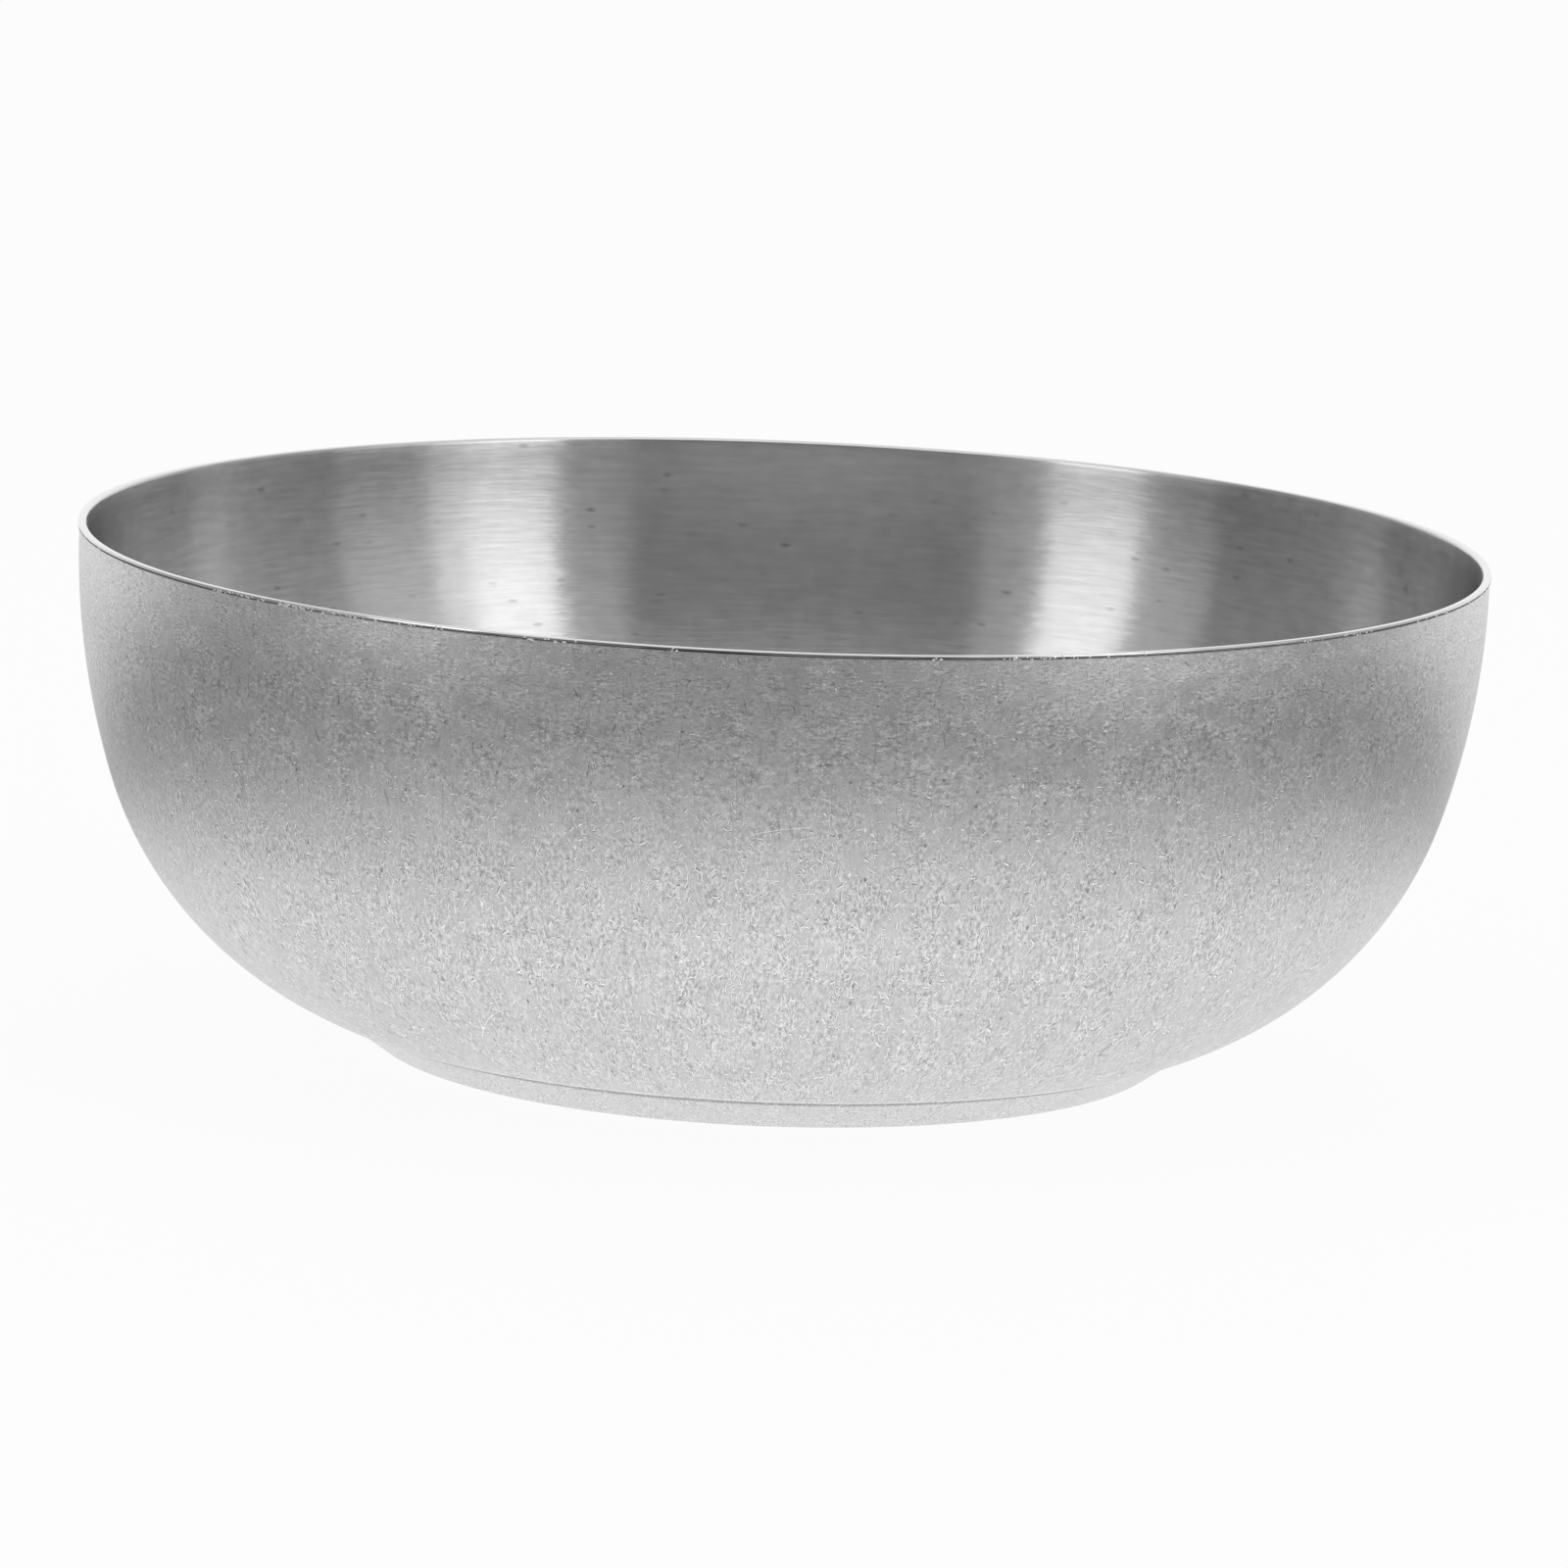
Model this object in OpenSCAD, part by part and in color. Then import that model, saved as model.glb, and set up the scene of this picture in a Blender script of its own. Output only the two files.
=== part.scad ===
// Double-wall stainless steel bowl: two drawn shells welded at the lip and closed by a base cap.
// The bowl stands on the plane Z = 0 and is round about the Z axis. Sizes are in millimetres.

/* [Bowl] */
// Diameter over the lip
bowl_d = 160; // [120:1:240]
// Height from the table to the top of the lip
bowl_h = 58.5; // [50:0.5:80]
// Play between sheets that lie on each other
fit_gap = 0.05; // [0.02:0.01:0.15]

/* [Outer shell] */
// Thickness of the outer sheet
shell_t = 0.4; // [0.3:0.05:1]
// Run of the wall from its lower edge out to the upright band
wall_run = 28.45; // [24:0.05:34]
// Height of the shell's lower edge above the table
seam_h = 4.2; // [3:0.1:8]
// Slope of the wall at its lower edge, above level
seam_slope = 21.4; // [15:0.1:28]
// Reach of the lower curve: a longer reach makes a fuller belly
belly = 19.7; // [16:0.1:23]
// Height of the upright band under the lip, where both sheets lie together
neck_h = 1.6; // [0.5:0.1:6]

/* [Inner bowl] */
// Thickness of the inner sheet, which is also the thickness of the lip
inner_t = 0.4; // [0.3:0.05:1]
// Air space between the two walls below the neck
air_gap = 5; // [3:0.1:8]
// How far the lip stands out past the wall of the outer shell
lip_proud = 0.25; // [0.2:0.01:0.6]
// How far the weld under the lip stays behind the edge of the lip
weld_tuck = 0.1; // [0.05:0.01:0.15]

/* [Base cap] */
// Thickness of the cap's sheet
cap_t = 0.5; // [0.3:0.05:1]
// Overlap of the cap inside the shell, along the wall
cap_lap = 5; // [2:0.5:8]
// Distance from the shell's lower edge in to the standing ring
foot_inset = 7.2; // [5:0.1:11]
// Width of the flat standing ring
foot_w = 5; // [2:0.5:9]
// Bend radius around the outside of the standing ring
foot_bend = 1.5; // [1.1:0.1:2.5]
// Bend radius of the step in the middle of the cap
step_bend = 1.5; // [1.1:0.1:2.5]
// Bend radius where the cap turns in under the shell
seam_bend = 1; // [0.5:0.1:2]
// Height of the raised middle of the cap above the table
cap_rise = 0.8; // [0.4:0.1:2]

/* [Hidden] */
// Sides of a full circle around the bowl
$fn = 160;
// Largest turn between two points of a section: on the walls, and on bends tighter than tight_r
wall_turn = 2;
bend_turn = 15;
tight_r = 5;

// A point at a given distance and direction from a centre
function polar(centre, r, angle) = centre + r * [cos(angle), sin(angle)];
// Length of a circle's arc turned into the angle that it spans
function arc_angle(length, r) = length / r * 180 / PI;

// Radii and heights of the neck and the lip
wall_r = bowl_d / 2 - lip_proud;
lip_z = bowl_h - inner_t;
neck_z = lip_z - neck_h;
inner_r = wall_r - shell_t - fit_gap;
weld_leg = lip_proud - weld_tuck;

// Outer wall: two arcs that touch, from the lower edge up to the upright band
seam = [wall_r - wall_run, seam_h];
neck = [wall_r, neck_z];
rise = neck - seam;
seam_dir = [cos(seam_slope), sin(seam_slope)];
top_reach = (rise * rise / 2 - belly * (rise * seam_dir)) / (rise.y + belly * (1 - seam_dir.y));
turn_line = neck - [0, top_reach] - seam - belly * seam_dir;
turn_slope = atan2(turn_line.y, turn_line.x);
low_sweep = turn_slope - seam_slope;
low_r = belly / tan(low_sweep / 2);
top_sweep = 90 - turn_slope;
top_r = top_reach / tan(top_sweep / 2);
low_centre = polar(seam, low_r, seam_slope + 90);

// Inner wall: its lower arc shares the outer wall's centre, and its upper arc ends upright at the neck
inner_low_r = low_r - shell_t - air_gap;
room = [inner_r, neck_z] - low_centre;
inner_top_r = (inner_low_r * inner_low_r - room * room) / (2 * (inner_low_r - room.x));
inner_top_sweep = asin(room.y / (inner_top_r - inner_low_r));
floor_z = low_centre.y - inner_low_r;

// Base cap: the lap follows the inside of the shell, and a cone joins it to the standing ring
lap_r = low_r - shell_t - fit_gap;
lap_sweep = arc_angle(cap_lap, lap_r);
foot_centre = [seam.x - foot_inset, foot_bend];
seam_bend_centre = polar(low_centre, lap_r + seam_bend, seam_slope - 90);
cone_line = seam_bend_centre - foot_centre;
cone_bends = foot_bend + seam_bend;
cone_slope = atan2(cone_line.y, cone_line.x) + asin(cone_bends / norm(cone_line));
cone_length = sqrt(cone_line * cone_line - cone_bends * cone_bends);
step_sweep = acos(1 - cap_rise / (2 * step_bend));
step_run = 2 * step_bend * sin(step_sweep);
cap_middle_r = foot_centre.x - foot_w - step_run;

// Section of a bent sheet, as steps along one face: a straight run, or a bend to the left or right.
// The sheet's thickness lies to the left of that face.
function run(length) = [length, 0];
function bend(r, sweep) = [r, sweep];
function bend_side(s) = sign(s[1]) * 90;
function bend_centre(p, heading, s) = polar(p, s[0], heading + bend_side(s));
function step_end(p, heading, s) =
    s[1] == 0 ? polar(p, s[0], heading)
    : polar(bend_centre(p, heading, s), s[0], heading - bend_side(s) + s[1]);

// Points of a round stretch after its first point, evenly spaced
function arc_points(centre, r, from, sweep, turn) =
    let (n = ceil(abs(sweep) / turn))
    [for (i = [1 : n]) polar(centre, r, from + sweep * i / n)];

// Points of a weld bead's round side, with its first point
function bead_points(centre, r, from, sweep) =
    concat([polar(centre, r, from)], arc_points(centre, r, from, sweep, bend_turn));

// Points of one step, on the sheet's face that lies at the given depth to the left
function step_points(p, heading, s, depth) =
    s[1] == 0 ? [polar(step_end(p, heading, s), depth, heading + 90)]
    : arc_points(
        bend_centre(p, heading, s), s[0] - sign(s[1]) * depth,
        heading - bend_side(s), s[1], s[0] < tight_r ? bend_turn : wall_turn);

// Points of a whole face, step after step, without its first point
function face_points(p, heading, steps, depth, at = 0) =
    at == len(steps) ? []
    : concat(
        step_points(p, heading, steps[at], depth),
        face_points(step_end(p, heading, steps[at]), heading + steps[at][1], steps, depth, at + 1));

function reversed(points) = [for (i = [len(points) - 1 : -1 : 0]) points[i]];

// Rounded cut edge that goes from one face of a sheet to the other
function edge_points(p, heading, t, from) =
    let (points = arc_points(polar(p, t / 2, heading + 90), t / 2, from, 180, bend_turn))
    [for (i = [0 : len(points) - 2]) points[i]];

// Section of a whole sheet, with its cut edges rounded where asked
module sheet_section(p, heading, steps, t, round_start = false, round_end = false) {
    face = face_points(p, heading, steps, 0);
    end_heading = heading + [for (s = steps) s[1]] * [for (s = steps) 1];
    polygon(concat(
        [p],
        face,
        round_end ? edge_points(face[len(face) - 1], end_heading, t, end_heading - 90) : [],
        reversed(face_points(p, heading, steps, t)),
        [polar(p, t, heading + 90)],
        round_start ? edge_points(p, heading, t, heading + 90) : []));
}

// Inner bowl: flat floor, round wall, upright neck and a lip turned out over the outer shell
module inner_bowl() {
    lip_run = bowl_d / 2 - inner_t / 2 - inner_r - fit_gap;
    steps = [
        run(low_centre.x),
        bend(inner_low_r, 90 - inner_top_sweep),
        bend(inner_top_r, inner_top_sweep),
        run(neck_h - fit_gap),
        bend(fit_gap, -90),
        run(lip_run)
    ];
    color("#aeb1b4")
    rotate_extrude() sheet_section([0, floor_z], 0, steps, inner_t, round_end = true);
}

// Outer shell: open below, its rounded lower edge hanging over the base cap
module outer_shell() {
    steps = [bend(low_r, low_sweep), bend(top_r, top_sweep), run(neck_h)];
    color("#c3c5c7")
    rotate_extrude() sheet_section(seam, seam_slope, steps, shell_t, round_start = true);
}

// Base cap: raised middle, standing ring, sloping band and the lap inside the shell
module base_cap() {
    steps = [
        run(cap_middle_r),
        bend(step_bend, -step_sweep),
        bend(step_bend, step_sweep),
        run(foot_w),
        bend(foot_bend, cone_slope),
        run(cone_length),
        bend(seam_bend, seam_slope - cone_slope),
        bend(lap_r, lap_sweep)
    ];
    color("#cfd0d1")
    rotate_extrude() sheet_section([0, cap_rise], 0, steps, cap_t);
}

// Rim weld: a thin bead in the corner between the lip and the outer shell
module rim_weld() {
    color("#6f6f70")
    rotate_extrude() polygon(concat([[wall_r, lip_z]], bead_points([wall_r, lip_z], weld_leg, -90, 90)));
}

// Base weld: a half-round bead inside the air space, on the end of the cap's lap
module base_weld() {
    lap_end = seam_slope - 90 + lap_sweep;
    color("#7d7d7e")
    rotate_extrude()
    polygon(bead_points(polar(low_centre, lap_r - cap_t / 2, lap_end), cap_t / 2, lap_end, 180));
}

inner_bowl();
outer_shell();
base_cap();
rim_weld();
base_weld();
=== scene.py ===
"""Looks of a double-wall stainless steel bowl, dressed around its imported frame."""

import math
import random

import bmesh
import bpy
from mathutils import Matrix, Vector


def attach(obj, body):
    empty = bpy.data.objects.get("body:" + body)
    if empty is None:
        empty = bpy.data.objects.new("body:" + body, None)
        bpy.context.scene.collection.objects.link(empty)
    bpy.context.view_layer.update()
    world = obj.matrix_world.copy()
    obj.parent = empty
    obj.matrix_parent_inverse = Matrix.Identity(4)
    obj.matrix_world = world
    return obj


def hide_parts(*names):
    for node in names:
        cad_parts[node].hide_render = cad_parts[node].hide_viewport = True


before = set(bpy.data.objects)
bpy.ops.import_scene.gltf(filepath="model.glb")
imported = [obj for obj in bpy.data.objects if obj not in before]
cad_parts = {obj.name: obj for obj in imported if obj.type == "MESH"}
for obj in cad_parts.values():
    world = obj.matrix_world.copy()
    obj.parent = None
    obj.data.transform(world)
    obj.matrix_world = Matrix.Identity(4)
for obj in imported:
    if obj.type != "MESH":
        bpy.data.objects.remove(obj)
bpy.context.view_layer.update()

MM = 0.001

# Driving sizes of the bowl, in millimetres and degrees
BOWL_D = 160.0
BOWL_H = 58.5
FIT_GAP = 0.05
SHELL_T = 0.4
WALL_RUN = 28.45
SEAM_H = 4.2
SEAM_SLOPE = 21.4
BELLY = 19.7
NECK_H = 1.6
INNER_T = 0.4
AIR_GAP = 5.0
LIP_PROUD = 0.25
WELD_TUCK = 0.1
CAP_T = 0.5
CAP_LAP = 5.0
FOOT_INSET = 7.2
FOOT_W = 5.0
FOOT_BEND = 1.5
STEP_BEND = 1.5
SEAM_BEND = 1.0
CAP_RISE = 0.8

# Fineness of the meshes: steps around the bowl, and the turn between two points of a section
AROUND = 288
WALL_TURN = 1.0
HIDDEN_TURN = 4.0
FOOT_TURN = 5.0
BEND_TURN = 15.0
# Points of a section that are closer than this are one, in millimetres
MERGE = 1e-4
# Edges that turn by more degrees than this are sharp: on the sheets, and on the weld's lumps
SHEET_CREASE = 40
LUMP_CREASE = 90

# How far the lip's edge stays back for the lumps of the rim weld, in millimetres
LIP_BACK = 0.08
# How far the lumps stay inside the bowl's full width
LUMP_CLEAR = 0.03
# Least and greatest radius of a lump, its stretch along the rim, and its height above the lip's
# underside
LUMP_R = (0.1, 0.18)
LUMP_STRETCH = (1, 2)
LUMP_UP = (-0.04, 0.22)
LUMP_SEED = 7
# Stretches of the rim weld with spatter: from and to in degrees, from the front round to the
# right, and the lumps on each
ROUGH_STRETCHES = (
    (-50, -26, 70),
    (-20, -15, 10),
    (-9, -7.5, 3),
    (11.5, 13, 3),
    (17, 29, 26),
    (44, 55, 12),
    (60, 85, 14),
    (120, 150, 20),
    (190, 215, 16),
    (255, 290, 18),
)


def heading(angle):
    """Unit vector in the X-Z plane, with the angle above level in degrees."""
    return Vector((math.cos(math.radians(angle)), 0, math.sin(math.radians(angle))))


# Section of the two walls, worked out from the driving sizes
WALL_R = BOWL_D / 2 - LIP_PROUD
LIP_Z = BOWL_H - INNER_T
NECK_Z = LIP_Z - NECK_H
INNER_R = WALL_R - SHELL_T - FIT_GAP
WELD_LEG = LIP_PROUD - WELD_TUCK
SEAM = Vector((WALL_R - WALL_RUN, 0, SEAM_H))
NECK = Vector((WALL_R, 0, NECK_Z))
RISE = NECK - SEAM
TOP_REACH = (RISE.length_squared / 2 - BELLY * RISE.dot(heading(SEAM_SLOPE))) / (
    RISE.z + BELLY * (1 - heading(SEAM_SLOPE).z)
)
TURN_LINE = NECK - Vector((0, 0, TOP_REACH)) - SEAM - BELLY * heading(SEAM_SLOPE)
TURN_SLOPE = math.degrees(math.atan2(TURN_LINE.z, TURN_LINE.x))
LOW_SWEEP = TURN_SLOPE - SEAM_SLOPE
LOW_R = BELLY / math.tan(math.radians(LOW_SWEEP / 2))
TOP_SWEEP = 90 - TURN_SLOPE
TOP_R = TOP_REACH / math.tan(math.radians(TOP_SWEEP / 2))
LOW_CENTRE = SEAM + LOW_R * heading(SEAM_SLOPE + 90)

INNER_LOW_R = LOW_R - SHELL_T - AIR_GAP
ROOM = Vector((INNER_R, 0, NECK_Z)) - LOW_CENTRE
INNER_TOP_R = (INNER_LOW_R**2 - ROOM.length_squared) / (2 * (INNER_LOW_R - ROOM.x))
INNER_TOP_SWEEP = math.degrees(math.asin(ROOM.z / (INNER_TOP_R - INNER_LOW_R)))
FLOOR_Z = LOW_CENTRE.z - INNER_LOW_R
LIP_RUN = BOWL_D / 2 - INNER_T / 2 - INNER_R - FIT_GAP

# Section of the base cap
LAP_R = LOW_R - SHELL_T - FIT_GAP
LAP_SWEEP = math.degrees(CAP_LAP / LAP_R)
FOOT_CENTRE = Vector((SEAM.x - FOOT_INSET, 0, FOOT_BEND))
SEAM_BEND_CENTRE = LOW_CENTRE + (LAP_R + SEAM_BEND) * heading(SEAM_SLOPE - 90)
CONE_LINE = SEAM_BEND_CENTRE - FOOT_CENTRE
CONE_SLOPE = math.degrees(
    math.atan2(CONE_LINE.z, CONE_LINE.x)
    + math.asin((FOOT_BEND + SEAM_BEND) / CONE_LINE.length)
)
CONE_LENGTH = math.sqrt(CONE_LINE.length_squared - (FOOT_BEND + SEAM_BEND) ** 2)
STEP_SWEEP = math.degrees(math.acos(1 - CAP_RISE / (2 * STEP_BEND)))
CAP_MIDDLE_R = FOOT_CENTRE.x - FOOT_W - 2 * STEP_BEND * math.sin(math.radians(STEP_SWEEP))


class Section:
    """A sheet's section line, drawn step by step in the X-Z plane and then turned about Z."""

    def __init__(self, x, z, slope):
        self.bm = bmesh.new()
        self.tip = self.bm.verts.new((x, 0, z))
        self.slope = slope

    def run(self, length):
        made = bmesh.ops.extrude_vert_indiv(self.bm, verts=[self.tip])
        self.tip = made["verts"][0]
        bmesh.ops.translate(self.bm, verts=[self.tip], vec=length * heading(self.slope))

    def bend(self, radius, sweep, turn):
        centre = self.tip.co + radius * heading(self.slope + math.copysign(90, sweep))
        made = bmesh.ops.spin(
            self.bm,
            geom=[self.tip],
            cent=centre,
            axis=(0, -1, 0),
            angle=math.radians(sweep),
            steps=math.ceil(abs(sweep) / turn),
        )
        self.tip = next(g for g in made["geom_last"] if isinstance(g, bmesh.types.BMVert))
        self.slope += sweep

    def corner(self, sweep):
        self.slope += sweep

    def lathe(self):
        """The whole sheet, in metres."""
        bm = self.bm
        bmesh.ops.remove_doubles(bm, verts=bm.verts[:], dist=MERGE)
        bmesh.ops.spin(
            bm,
            geom=bm.verts[:] + bm.edges[:],
            cent=(0, 0, 0),
            axis=(0, 0, 1),
            angle=math.tau,
            steps=AROUND,
            use_merge=True,
        )
        bmesh.ops.remove_doubles(bm, verts=bm.verts[:], dist=MERGE)
        bmesh.ops.recalc_face_normals(bm, faces=bm.faces[:])
        bmesh.ops.scale(bm, vec=(MM, MM, MM), verts=bm.verts[:])
        return bm


def piece(name, bm, finish, node, crease=SHEET_CREASE):
    """Makes the mesh an object that rides the frame and, where a node is given, stands for it."""
    mesh = bpy.data.meshes.new(name)
    bm.to_mesh(mesh)
    bm.free()
    mesh.shade_smooth()
    mesh.set_sharp_from_angle(angle=math.radians(crease))
    mesh.materials.append(finish)
    made = bpy.data.objects.new(name, mesh)
    bpy.context.scene.collection.objects.link(made)
    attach(made, "root")
    if node:
        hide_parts(node)


# Sockets of a node that mixes two colours, by place
MIX_DARK = 6
MIX_LIGHT = 7
MIX_OUT = 2


class Value:
    """A number that changes over a surface: a node's output, with arithmetic."""

    def __init__(self, finish, socket):
        self.finish = finish
        self.socket = socket

    def maths(self, operation, *numbers):
        return self.finish.node(
            "ShaderNodeMath", {"operation": operation}, dict(enumerate(numbers))
        ).value()

    def __add__(self, other):
        return self.maths("ADD", self, other)

    def __radd__(self, other):
        return self.maths("ADD", other, self)

    def __sub__(self, other):
        return self.maths("SUBTRACT", self, other)

    def __rsub__(self, other):
        return self.maths("SUBTRACT", other, self)

    def __mul__(self, other):
        return self.maths("MULTIPLY", self, other)

    def __rmul__(self, other):
        return self.maths("MULTIPLY", other, self)

    def __pow__(self, other):
        return self.maths("POWER", self, other)

    def __abs__(self):
        return self.maths("ABSOLUTE", self)

    def most(self, other):
        return self.maths("MAXIMUM", self, other)


class Made:
    """A node that has been made, with its outputs by name."""

    def __init__(self, finish, node):
        self.finish = finish
        self.node = node

    def value(self, output=0):
        return Value(self.finish, self.node.outputs[output])


class Finish:
    """A node tree that is filled by one method."""

    def __init__(self, owner):
        owner.use_nodes = True
        self.tree = owner.node_tree
        self.tree.nodes.clear()

    def node(self, kind, settings=None, sockets=None):
        node = self.tree.nodes.new(kind)
        for name, setting in (settings or {}).items():
            setattr(node, name, setting)
        for name, given in (sockets or {}).items():
            if isinstance(given, Made):
                given = given.value()
            if isinstance(given, Value):
                self.tree.links.new(given.socket, node.inputs[name])
            else:
                node.inputs[name].default_value = given
        return Made(self, node)

    def vector(self, operation, *given):
        return self.node("ShaderNodeVectorMath", {"operation": operation}, dict(enumerate(given)))

    def ease(self, value, low, high):
        """0 below low and 1 above high, smooth between them; the limits may fall instead."""
        return self.node(
            "ShaderNodeMapRange",
            {"interpolation_type": "SMOOTHSTEP"},
            {"Value": value, "From Min": low, "From Max": high},
        ).value()

    def tint(self, factor, dark, light):
        """A colour between two greys or colours."""
        return self.node(
            "ShaderNodeMix",
            {"data_type": "RGBA"},
            {"Factor": factor, MIX_DARK: dark, MIX_LIGHT: light},
        ).value(MIX_OUT)


def grey(level):
    return (level, level, level, 1.0)


# What a noise varies around
NOISE_MIDDLE = 0.5
# Noises of the finishes: size of the blotches in metres, detail, roughness
PATCHES = (0.0025, 3.0, 0.6)
GRAIN = (0.0003, 3.0, 0.7)
LEVEL_GRAIN = (0.0006, 4.0, 0.75)
CLOUDS = (0.003, 3.0, 0.6)
BROAD_MARKS = (0.02, 2.0, 0.6)
RIPPLES = (0.005, 2.0, 0.5)
BLOTS = (0.0024, 2.0, 0.5)
BURNS = (0.01, 3.0, 0.6)
WELD_GRAIN = (0.0006, 3.0, 0.6)

# Scratches: size of a cell and width of a line in metres, half a line's length as a share of the
# cell, shift of the cells in metres, rarity
FLECKS = (
    (0.00028, 0.00005, 0.5, 0.013, 6),
    (0.00045, 0.00006, 0.5, 0.029, 6),
    (0.0008, 0.00007, 0.4, 0.041, 6),
)
PULLS = (0.0005, 0.00006, 0.6, 0.117, 4)
NICKS = (0.0006, 0.00006, 0.5, 0.067, 4)
LONG_SCRATCHES = (0.006, 0.00006, 0.8, 0.151, 4)
SHIFT_WAY = (1.0, 0.7, 0.3)
# A scratch's painted shaded side beside its painted lit side, and the share of its reach where
# it begins to fade
SHADED_SIDE = 0.3
SCRATCH_FADE = 0.6

# Specks: size of a cell in metres, and a speck's radius as a share of the cell
OUTER_SPECKS = (0.0011, 0.16)
INNER_SPECKS = (0.012, 0.06)
PITS = (0.003, 0.3)
# The darkest speck beside the brightest, their rarity, and the share of the radius that is full
SPECK_DARK = 1.4
SPECK_RARITY = 3
SPECK_CORE = 0.3


def noise(finish, where, size, detail, rough):
    return finish.node(
        "ShaderNodeTexNoise",
        {"noise_dimensions": "3D"},
        {"Vector": where, "Scale": 1 / size, "Detail": detail, "Roughness": rough},
    ).value()


def cells(finish, where, size):
    """Cells of about the given size, each with its own colour and middle."""
    return finish.node(
        "ShaderNodeTexVoronoi",
        {"voronoi_dimensions": "3D", "feature": "F1"},
        {"Vector": where, "Scale": 1 / size},
    )


def scratches(finish, where, facing, size, width, reach, shift, rarity):
    """Straight scratches in all directions, one in each cell.

    Each has a painted lit side and a weaker painted shaded side, and the greater the rarity,
    the fewer of them are strong.
    """
    moved = finish.vector("ADD", where, tuple(shift * way for way in SHIFT_WAY)).value()
    cell = cells(finish, moved, size)
    turned = finish.vector("MULTIPLY_ADD", cell.value("Color"), (2, 2, 2), (-1, -1, -1))
    across = finish.vector("SUBTRACT", turned, finish.vector("PROJECT", turned, facing))
    across = finish.vector("NORMALIZE", across)
    off = finish.vector("SUBTRACT", moved, cell.value("Position"))
    side = finish.vector("DOT_PRODUCT", off, across).value("Value")
    lit = finish.ease(abs(side - width / 2), width, 0.0)
    shaded = finish.ease(abs(side + width / 2), width, 0.0)
    colour = finish.node("ShaderNodeSeparateColor", {}, {0: cell.value("Color")})
    strong = colour.value("Green") ** rarity
    near = finish.ease(cell.value("Distance"), reach, SCRATCH_FADE * reach)
    return strong * near * (lit - SHADED_SIDE * shaded)


def specks(finish, where, size, reach):
    """Soft specks, one in each cell: dark pits and bright painted glints; few of them are strong.
    """
    cell = cells(finish, where, size)
    colour = finish.node("ShaderNodeSeparateColor", {}, {0: cell.value("Color")})
    kind = (1 + SPECK_DARK) * colour.value("Red") - SPECK_DARK
    strong = colour.value("Green") ** SPECK_RARITY * kind
    return strong * finish.ease(cell.value("Distance"), reach, SPECK_CORE * reach)


def steel(finish, **sockets):
    """A metal shader on the material's output."""
    made = finish.node("ShaderNodeBsdfPrincipled", {}, {"Metallic": 1.0, **sockets})
    finish.node("ShaderNodeOutputMaterial", {}, {"Surface": made.value("BSDF")})


def bump(finish, height, distance):
    return finish.node(
        "ShaderNodeBump",
        {},
        {"Height": height, "Distance": distance, "Strength": 1.0},
    ).value("Normal")


# Drum that the outer wall's marks are laid out on, in metres
DRUM_R = 0.07
RIM_UP = 0.0585
# Height on the drum: a share of the height on the wall, and a share that grows towards the rim
LOW_SQUEEZE = 0.5
RIM_SQUEEZE = 0.25
RIM_POWER = 8

# Heights on the outer steel, in metres, from where a change begins to where it is full
# Painted highlight: the shell's lower edge is painted lighter where its rounded edge catches the
# light
EDGE_HIGHLIGHT = (0.0048, 0.0044)
# Painted shade: the cap is painted darker just under the shell's edge, in the crevice there
CAP_CREVICE_SHADE = (0.0034, 0.0039)
TOP_MARKS = (0.03, 0.048)
# Painted sheen: the wall is painted lighter just under the rim
RIM_SHEEN = (0.048, RIM_UP)
# The whole cap is a little lighter
CAP_LIGHTER = 0.3
# Squeeze in height that lays marks flat, and the stretch that sets them upright
LEVEL = (1, 1, 1.6)
UPRIGHT = (1, 1, 0.12)
# Strength of the marks from patch to patch: least, range, and the noise's limits for both ends
PATCH_LEAST = 0.35
PATCH_RANGE = 1.3
PATCH_ENDS = (0.3, 0.7)
# Strengths of the marks: grain and flecks low on the wall and their change near the top
GRAIN_LOW = 1.0
GRAIN_RISE = 0.2
FLECKS_LOW = 4.2
FLECKS_FALL = 3.3
PULLS_DEPTH = 0.35
NICKS_DEPTH = 1.2
LONG_LIFT = 0.35
SPECKS_LIFT = 2
MARKS_GAIN = 1.3
# The outer steel's shade between its two greys, and what each thing adds to it
OUTER_GREYS = (0.33, 0.97)
OUTER_SHADE = 0.32
CLOUD_SHADE = 0.3
MARKS_SHADE = 1.25
LIGHTER_SHADE = 0.25
CREVICE_SHADE = 0.9
RIM_SHEEN_SHADE = 0.15
OUTER_ROUGH = 0.3
CLOUD_ROUGH = 0.14
MARKS_HEIGHT = 0.00001


def wall_place(finish, where, up):
    """Place on the wall as on a drum, and the drum's facing.

    Marks lie flat under the rim and stand upright below.
    """
    facing = finish.vector("NORMALIZE", finish.vector("MULTIPLY", where, (1, 1, 0))).value()
    drum = finish.vector("MULTIPLY", facing, (DRUM_R, DRUM_R, 0))
    squeezed = RIM_SQUEEZE * RIM_UP * (up * (1 / RIM_UP)) ** RIM_POWER
    height = finish.node("ShaderNodeCombineXYZ", {}, {2: LOW_SQUEEZE * up + squeezed})
    return finish.vector("ADD", drum, height).value(), facing


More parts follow.
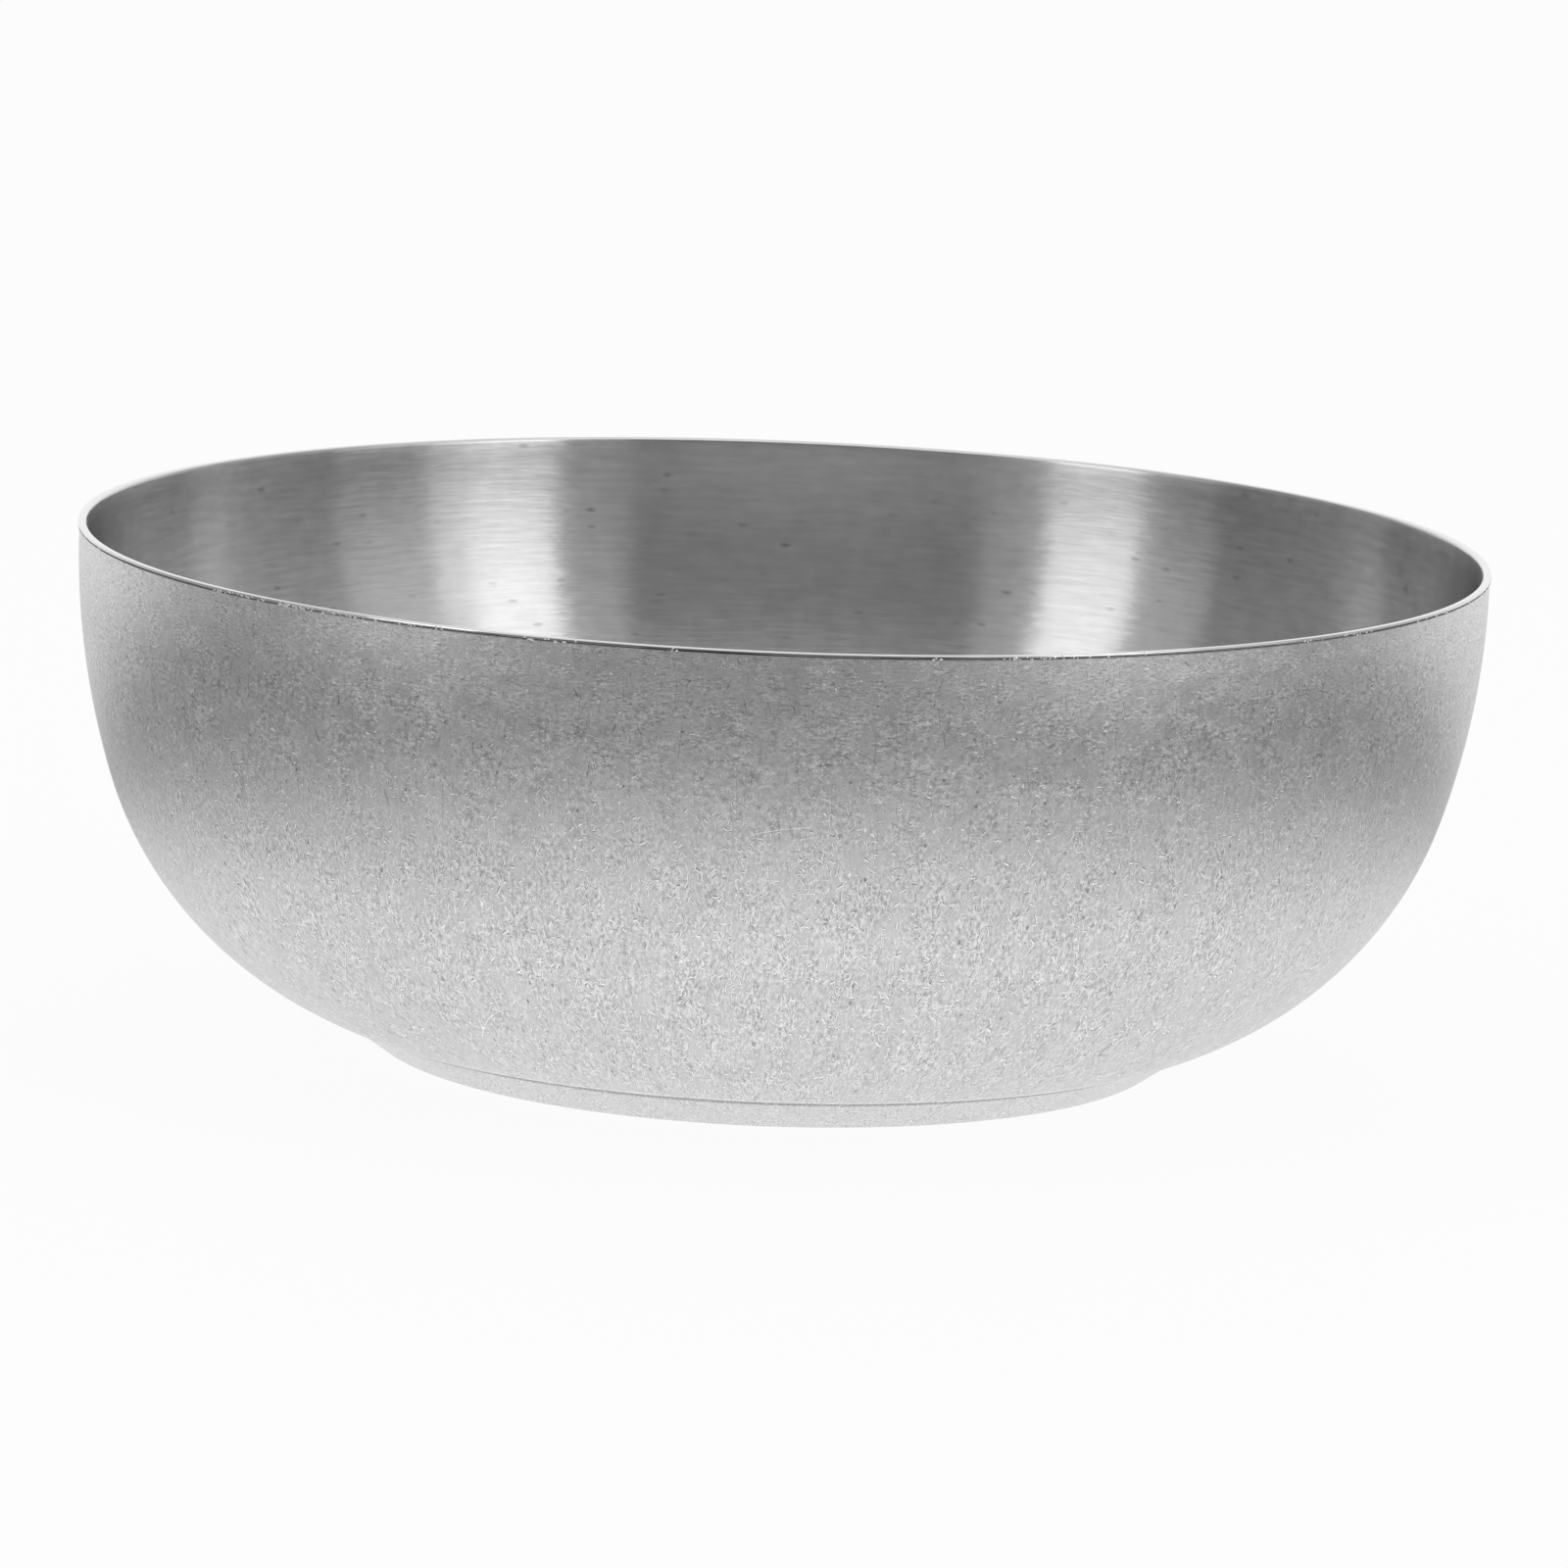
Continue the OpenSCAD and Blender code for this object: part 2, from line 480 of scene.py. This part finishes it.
def tumbled_steel(name, on_wall):
    """Satin steel with fine scratches in all directions, as tumbling leaves it."""
    material = bpy.data.materials.new(name)
    finish = Finish(material)
    spot = finish.node("ShaderNodeTexCoord")
    where, facing = spot.value("Object"), spot.value("Normal")
    up = finish.node("ShaderNodeSeparateXYZ", {}, {0: where}).value("Z")
    # On the wall, a painted highlight on the shell's lower edge; on the cap, the whole cap a
    # little lighter
    if on_wall:
        lighter, crevice_shade = finish.ease(up, *EDGE_HIGHLIGHT), 0.0
        where, facing = wall_place(finish, where, up)
    else:
        # Painted shade on the cap in the crevice under the shell's edge
        lighter, crevice_shade = CAP_LIGHTER, finish.ease(up, *CAP_CREVICE_SHADE)
    top = finish.ease(up, *TOP_MARKS)
    level = finish.vector("MULTIPLY", where, LEVEL).value()
    patch = finish.ease(noise(finish, where, *PATCHES), *PATCH_ENDS)
    patch = PATCH_LEAST + PATCH_RANGE * patch
    fine, middling, coarse = (scratches(finish, where, facing, *kind) for kind in FLECKS)
    flecks = fine + middling + coarse
    upright = finish.vector("MULTIPLY", where, UPRIGHT).value()
    pulls = scratches(finish, upright, facing, *PULLS)
    nicks = scratches(finish, level, facing, *NICKS)
    long = scratches(finish, where, facing, *LONG_SCRATCHES)
    grain = noise(finish, where, *GRAIN)
    level_grain = noise(finish, level, *LEVEL_GRAIN)
    grain = grain + top * (level_grain - grain) - NOISE_MIDDLE
    cloud = noise(finish, where, *CLOUDS)
    marks = (GRAIN_LOW + GRAIN_RISE * top) * grain + (FLECKS_LOW - FLECKS_FALL * top) * flecks
    marks = patch * marks
    marks = marks - top * (PULLS_DEPTH * pulls + NICKS_DEPTH * nicks) + LONG_LIFT * long
    # Dark pits and bright painted glints
    marks = marks + SPECKS_LIFT * specks(finish, where, *OUTER_SPECKS)
    marks = MARKS_GAIN * marks
    # Painted sheen: the wall lighter just under the rim
    rim = finish.ease(up, *RIM_SHEEN)
    shade = OUTER_SHADE + CLOUD_SHADE * cloud + MARKS_SHADE * marks
    shade = shade + LIGHTER_SHADE * lighter - CREVICE_SHADE * crevice_shade + RIM_SHEEN_SHADE * rim
    dark, light = OUTER_GREYS
    steel(
        finish,
        **{
            "Base Color": finish.tint(shade, grey(dark), grey(light)),
            "Roughness": OUTER_ROUGH + CLOUD_ROUGH * cloud,
            "Normal": bump(finish, marks, MARKS_HEIGHT),
        },
    )
    return material


# How much finer than along the brush marks the inner steel's noises are across them
BROAD_SQUEEZE = 60.0
RIPPLE_SQUEEZE = 7.0
PIT_SQUEEZE = 2.0
# Distances from the axis and heights of the lip and of its lower outer edge, which carries painted
# shade and weld heat, in metres, from where a change begins to where it is full
LIP_OUT = (0.07895, 0.0791)
SHADED_EDGE_OUT = (0.0795, 0.0796)
SHADED_EDGE_UP = (0.05836, 0.05826)
# Darkening of the lip's lower outer edge: painted shade of the crevice under the lip everywhere,
# more near the middle of the front and back, and weld heat in blotches
EDGE_SHADE_LEAST = 0.2
EDGE_SHADE_MIDDLE = 0.55
HEAT_BURNT = 0.25
MIDDLE_ASIDE = (0.045, 0.02)
BURN_ENDS = (0.4, 0.6)
# The inner steel's shade between its two greys: what the noises add, and what is taken off again
INNER_GREYS = (0.55, 0.7)
BROAD_SHADE = 0.35
BLOT_SHADE = 0.8
SHADE_OFF = 0.595
# Pits are the dark specks, so their strength is below 0
PIT_STRENGTH = -0.7
PIT_GREY = 0.35
LIP_GREY = 0.75
EDGE_SHADE_AND_HEAT_GREY = 0.08
# Roughness of the inner steel and of its lip
INNER_ROUGH = 0.235
BLOT_ROUGH = 0.03
LIP_SMOOTH = 0.12
# Direction of the brushing as a share of a turn, height of its marks in metres, and the broad
# marks' share of that height
BRUSH_TURN = 0.25
BRUSH_HEIGHT = 0.00003
BROAD_HEIGHT = 0.2


def brush_lines(finish, flat, along, squeeze):
    """Place on the wall, squeezed across the brush marks so that noise runs round the bowl."""
    across = finish.node("ShaderNodeCombineXYZ", {}, {2: squeeze * along})
    return finish.vector("ADD", flat, across).value()


def brushed_steel(name):
    """Steel brushed round the bowl's inside, with small pits, a bright lip and painted shade under
    it.
    """
    material = bpy.data.materials.new(name)
    finish = Finish(material)
    where = finish.node("ShaderNodeTexCoord").value("Object")
    flat = finish.vector("MULTIPLY", where, (1, 1, 0)).value()
    out = finish.vector("LENGTH", flat).value("Value")
    parts = finish.node("ShaderNodeSeparateXYZ", {}, {0: where})
    aside, up = abs(parts.value("X")), parts.value("Z")
    along = out + up
    broad = noise(finish, brush_lines(finish, flat, along, BROAD_SQUEEZE), *BROAD_MARKS)
    ripple = noise(finish, brush_lines(finish, flat, along, RIPPLE_SQUEEZE), *RIPPLES)
    blot = noise(finish, where, *BLOTS)
    lip = finish.ease(out, *LIP_OUT)
    burnt = finish.ease(noise(finish, where, *BURNS), *BURN_ENDS)
    # Painted shade of the crevice under the lip's edge, strongest at the middle of the front and
    # back, with weld heat in blotches
    shade_and_heat = EDGE_SHADE_LEAST + EDGE_SHADE_MIDDLE * finish.ease(aside, *MIDDLE_ASIDE) + HEAT_BURNT * burnt
    edge_shade_and_heat = shade_and_heat * finish.ease(out, *SHADED_EDGE_OUT) * finish.ease(up, *SHADED_EDGE_UP)
    streak = BROAD_SHADE * broad + ripple + BLOT_SHADE * blot - SHADE_OFF
    streak = streak + specks(finish, where, *INNER_SPECKS)
    pits = PIT_STRENGTH * specks(finish, brush_lines(finish, flat, along, PIT_SQUEEZE), *PITS)
    dark, light = INNER_GREYS
    metal = finish.tint(streak, grey(dark), grey(light))
    metal = finish.tint(pits, metal, grey(PIT_GREY))
    metal = finish.tint(lip, metal, grey(LIP_GREY))
    steel(
        finish,
        **{
            "Base Color": finish.tint(edge_shade_and_heat, metal, grey(EDGE_SHADE_AND_HEAT_GREY)),
            "Roughness": INNER_ROUGH + BLOT_ROUGH * blot - LIP_SMOOTH * lip,
            "Anisotropic": 1.0,
            "Anisotropic Rotation": BRUSH_TURN,
            "Normal": bump(finish, ripple + BROAD_HEIGHT * broad, BRUSH_HEIGHT),
        },
    )
    return material


# Two greys and the least roughness of the weld and of its lumps; the weld's dark grey is partly
# painted shade of the crevice under the lip
WELD_WITH_PAINTED_SHADE = (0.1, 0.6, 0.4)
BRIGHT_SPATTER = (0.75, 0.98, 0.2)
WELD_ROUGH = 0.2
WELD_HEIGHT = 0.00005


def weld_steel(name, low, high, rough):
    """Metal of a weld bead or of its spatter, between two greys."""
    material = bpy.data.materials.new(name)
    finish = Finish(material)
    where = finish.node("ShaderNodeTexCoord").value("Object")
    grain = noise(finish, where, *WELD_GRAIN)
    steel(
        finish,
        **{
            "Base Color": finish.tint(grain, grey(low), grey(high)),
            "Roughness": rough + WELD_ROUGH * grain,
            "Normal": bump(finish, grain, WELD_HEIGHT),
        },
    )
    return material


def outer_wall():
    section = Section(SEAM.x, SEAM.z, SEAM_SLOPE)
    section.bend(LOW_R, LOW_SWEEP, WALL_TURN)
    section.bend(TOP_R, TOP_SWEEP, WALL_TURN)
    section.run(NECK_H)
    section.corner(90)
    section.run(SHELL_T)
    section.corner(90)
    section.run(NECK_H)
    section.bend(TOP_R - SHELL_T, -TOP_SWEEP, HIDDEN_TURN)
    section.bend(LOW_R - SHELL_T, -LOW_SWEEP, HIDDEN_TURN)
    section.bend(SHELL_T / 2, 180, BEND_TURN)
    return section.lathe()


def inner_wall():
    section = Section(0, FLOOR_Z, 0)
    section.run(LOW_CENTRE.x)
    section.bend(INNER_LOW_R, 90 - INNER_TOP_SWEEP, HIDDEN_TURN)
    section.bend(INNER_TOP_R, INNER_TOP_SWEEP, HIDDEN_TURN)
    section.run(NECK_H - FIT_GAP)
    section.bend(FIT_GAP, -90, BEND_TURN)
    section.run(LIP_RUN - LIP_BACK)
    section.bend(INNER_T / 2, 180, BEND_TURN)
    section.run(LIP_RUN - LIP_BACK)
    section.bend(FIT_GAP + INNER_T, 90, BEND_TURN)
    section.run(NECK_H - FIT_GAP)
    section.bend(INNER_TOP_R - INNER_T, -INNER_TOP_SWEEP, WALL_TURN)
    section.bend(INNER_LOW_R - INNER_T, INNER_TOP_SWEEP - 90, WALL_TURN)
    section.run(LOW_CENTRE.x)
    return section.lathe()


def base():
    section = Section(0, CAP_RISE, 0)
    section.run(CAP_MIDDLE_R)
    section.bend(STEP_BEND, -STEP_SWEEP, BEND_TURN)
    section.bend(STEP_BEND, STEP_SWEEP, BEND_TURN)
    section.run(FOOT_W)
    section.bend(FOOT_BEND, CONE_SLOPE, FOOT_TURN)
    section.run(CONE_LENGTH)
    section.bend(SEAM_BEND, SEAM_SLOPE - CONE_SLOPE, BEND_TURN)
    section.bend(LAP_R, LAP_SWEEP, HIDDEN_TURN)
    section.corner(90)
    section.run(CAP_T)
    section.corner(90)
    section.bend(LAP_R - CAP_T, -LAP_SWEEP, HIDDEN_TURN)
    section.bend(SEAM_BEND + CAP_T, CONE_SLOPE - SEAM_SLOPE, BEND_TURN)
    section.run(CONE_LENGTH)
    section.bend(FOOT_BEND - CAP_T, -CONE_SLOPE, BEND_TURN)
    section.run(FOOT_W)
    section.bend(STEP_BEND - CAP_T, -STEP_SWEEP, BEND_TURN)
    section.bend(STEP_BEND + CAP_T, STEP_SWEEP, BEND_TURN)
    section.run(CAP_MIDDLE_R)
    return section.lathe()


def rim_bead():
    section = Section(WALL_R, LIP_Z, -90)
    section.run(WELD_LEG)
    section.corner(90)
    section.bend(WELD_LEG, 90, BEND_TURN)
    section.corner(90)
    section.run(WELD_LEG)
    return section.lathe()


def rim_spatter():
    """Small lumps of weld along the edge of the lip, close together on rough stretches."""
    draw = random.Random(LUMP_SEED)
    bm = bmesh.new()
    for first, last, count in ROUGH_STRETCHES:
        for _ in range(count):
            around = math.radians(draw.uniform(first, last))
            size = draw.uniform(*LUMP_R)
            out = BOWL_D / 2 - LUMP_CLEAR - size
            lump = bmesh.ops.create_icosphere(bm, subdivisions=1, radius=size)["verts"]
            bmesh.ops.scale(bm, vec=(draw.uniform(*LUMP_STRETCH), 1, 1), verts=lump)
            high = LIP_Z + draw.uniform(*LUMP_UP)
            turn = Matrix.Rotation(around, 3, "Z")
            spot = Vector((out * math.sin(around), -out * math.cos(around), high))
            bmesh.ops.rotate(bm, cent=(0, 0, 0), matrix=turn, verts=lump)
            bmesh.ops.translate(bm, vec=spot, verts=lump)
    bmesh.ops.scale(bm, vec=(MM, MM, MM), verts=bm.verts[:])
    return bm


# The weld's dark grey is partly painted shade of the crevice under the lip
weld = weld_steel("weld_with_painted_shade", *WELD_WITH_PAINTED_SHADE)
wall_steel = tumbled_steel("tumbled_wall", True)
piece("outer_wall", outer_wall(), wall_steel, "outer_shell")
inner_steel = brushed_steel("brushed_wall")
piece("inner_wall", inner_wall(), inner_steel, "inner_bowl")
base_steel = tumbled_steel("tumbled_base", False)
piece("base", base(), base_steel, "base_cap")
piece("rim_bead", rim_bead(), weld, "rim_weld")
spatter = weld_steel("bright_spatter", *BRIGHT_SPATTER)
piece("rim_spatter", rim_spatter(), spatter, None, LUMP_CREASE)
base_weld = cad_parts["base_weld"]
base_weld.data.materials.clear()
base_weld.data.materials.append(weld)

# Stage: floor in metres, and its greys
FLOOR_SIDE = 6.0
FLOOR_GAP = 0.00005
FLOOR_PAINT = 0.95
FLOOR_WHITE = 0.93
# Painted pool of light that the metal sees in the floor's glow around the bowl, with no edge at
# the back
POOL_EDGE = 0.21
POOL_CORE = 0.09
POOL_SHAPE = (1.15, 1.0, 1.0)
POOL_SHIFT = (-0.008, 0.0, 0.0)
BACK_WHITE = (0.06, 0.17)
# Greys of the floor's painted glow outside the pool: near, and far away or aside
FLOOR_NEAR_GREY = 0.36
FLOOR_END_GREY = 0.25
FLOOR_AWAY = (0.5, 0.9)
FLOOR_ASIDE = (0.12, 0.4)
# Greys of the room that the metal sees, and the directions where it changes from one to the next
ROOM_FRONT = 0.16
ROOM_LEFT = 0.36
ROOM_RIGHT = 0.5
LEFT_TO_RIGHT = (-0.3, 0.3)
FRONT_TO_SIDE = (-0.8, 0.1)
SIDE_TO_BACK = (0.45, 0.95)
WALL_TO_CEILING = (0.7, 0.95)
# Soft lamps: their distance and the heights of foot and head in metres, and lean in degrees
LAMP_AWAY = 0.9
LAMP_FOOT = 0.0
LAMP_HEAD = 1.3
RIGHT_LEAN = 8
LEFT_LEAN = -10.5
# Name, azimuth and span in degrees as seen from the bowl, lean and radiance
LAMPS = (
    ("right_border", 39, 14, RIGHT_LEAN, 0.28),
    ("right_softbox", 54.3, 17, RIGHT_LEAN, 1.55),
    ("right_shoulder", 66.8, 8, RIGHT_LEAN, 1.0),
    ("right_fill", 80.8, 20, RIGHT_LEAN, 0.4),
    ("left_border", -46, 12, LEFT_LEAN, 0.25),
    ("left_softbox", -62, 19, LEFT_LEAN, 1.4),
    ("left_fill", -80, 16, LEFT_LEAN, 0.32),
)
# Camera: metres and degrees, with the focal length in pixels of the image
CAMERA_AWAY = 1.0
CAMERA_UP = 11.92
CAMERA_ROLL = 2.30
CAMERA_AIM = Vector((0.00098, 0, 0.03018))
CAMERA_NEAR = 0.01
FOCAL = 8906.84
IMAGE = 1600
SENSOR = 36.0


def pale_floor():
    """White to the camera with a soft shadow; metal sees a painted pool of light glowing around
    the bowl.
    """
    material = bpy.data.materials.new("pale_floor")
    finish = Finish(material)
    path = finish.node("ShaderNodeLightPath")
    seen, mirrored = path.value("Is Camera Ray"), path.value("Is Glossy Ray")
    where = finish.node("ShaderNodeTexCoord").value("Object")
    spread = finish.vector("MULTIPLY_ADD", where, POOL_SHAPE, POOL_SHIFT).value()
    away = finish.vector("LENGTH", spread).value("Value")
    parts = finish.node("ShaderNodeSeparateXYZ", {}, {0: where})
    aside, back = abs(parts.value("X")), parts.value("Y")
    pool = finish.ease(away, POOL_EDGE, POOL_CORE)
    pool = pool.most(finish.ease(back, *BACK_WHITE))
    lit = finish.node("ShaderNodeBsdfDiffuse", {}, {"Color": grey(FLOOR_PAINT)})
    dim = finish.ease(away, *FLOOR_AWAY)
    dim = dim.most(finish.ease(aside, *FLOOR_ASIDE))
    outer = finish.tint(dim, grey(FLOOR_NEAR_GREY), grey(FLOOR_END_GREY))
    shade = finish.tint(seen + mirrored * pool, outer, grey(1.0))
    glow = finish.node("ShaderNodeEmission", {}, {"Color": shade, "Strength": 1.0})
    glowing = FLOOR_WHITE * seen + mirrored
    mixed = finish.node("ShaderNodeMixShader", {}, {0: glowing, 1: lit, 2: glow})
    finish.node("ShaderNodeOutputMaterial", {}, {"Surface": mixed})
    mesh = bpy.data.meshes.new("floor")
    bm = bmesh.new()
    bmesh.ops.create_grid(bm, x_segments=1, y_segments=1, size=FLOOR_SIDE / 2)
    bmesh.ops.translate(bm, vec=(0, 0, -FLOOR_GAP), verts=bm.verts[:])
    bm.to_mesh(mesh)
    bm.free()
    mesh.materials.append(material)
    made = bpy.data.objects.new("floor", mesh)
    bpy.context.scene.collection.objects.link(made)


def surroundings():
    """White to the camera; a room that is dark on the camera's side and white behind the bowl."""
    world = bpy.data.worlds.new("surroundings")
    bpy.context.scene.world = world
    finish = Finish(world)
    seen = finish.node("ShaderNodeLightPath").value("Is Camera Ray")
    way = finish.node("ShaderNodeTexCoord").value("Generated")
    parts = finish.node("ShaderNodeSeparateXYZ", {}, {0: way})
    right, back, up = parts.value("X"), parts.value("Y"), parts.value("Z")
    side = finish.tint(finish.ease(right, *LEFT_TO_RIGHT), grey(ROOM_LEFT), grey(ROOM_RIGHT))
    side = finish.tint(finish.ease(back, *FRONT_TO_SIDE), grey(ROOM_FRONT), side)
    wall = finish.tint(finish.ease(back, *SIDE_TO_BACK), side, grey(1.0))
    shade = finish.tint(finish.ease(up, *WALL_TO_CEILING), wall, grey(1.0))
    room = finish.node("ShaderNodeBackground", {}, {"Color": shade, "Strength": 1.0})
    white = finish.node("ShaderNodeBackground", {}, {"Color": grey(1.0), "Strength": 1.0})
    mixed = finish.node("ShaderNodeMixShader", {}, {0: seen, 1: room, 2: white})
    finish.node("ShaderNodeOutputWorld", {}, {"Surface": mixed})


def softbox(name, azimuth, span, lean, radiance):
    """A soft lamp that faces the bowl, its head leaning towards greater azimuths."""
    width = 2 * LAMP_AWAY * math.tan(math.radians(span / 2))
    height = LAMP_HEAD - LAMP_FOOT
    lamp = bpy.data.lights.new(name, "AREA")
    lamp.shape = "RECTANGLE"
    lamp.size = width
    lamp.size_y = height
    lamp.energy = radiance * math.pi * width * height
    made = bpy.data.objects.new(name, lamp)
    bpy.context.scene.collection.objects.link(made)
    around = math.radians(azimuth)
    inward = Vector((-math.sin(around), math.cos(around), 0))
    made.location = -LAMP_AWAY * inward + Vector((0, 0, (LAMP_FOOT + LAMP_HEAD) / 2))
    made.rotation_euler = inward.to_track_quat("-Z", "Y").to_euler()
    made.rotation_euler.rotate_axis("Z", -math.radians(lean))
    made.visible_camera = False


def camera():
    lens = bpy.data.cameras.new("camera")
    lens.sensor_width = SENSOR
    lens.lens = SENSOR * FOCAL / IMAGE
    lens.clip_start = CAMERA_NEAR
    made = bpy.data.objects.new("camera", lens)
    bpy.context.scene.collection.objects.link(made)
    made.location = CAMERA_AWAY * -heading(-CAMERA_UP).yxz
    made.rotation_euler = (CAMERA_AIM - made.location).to_track_quat("-Z", "Y").to_euler()
    made.rotation_euler.rotate_axis("Z", math.radians(CAMERA_ROLL))
    bpy.context.scene.camera = made


pale_floor()
surroundings()
for lamp in LAMPS:
    softbox(*lamp)
camera()
bpy.context.scene.view_settings.view_transform = "Standard"
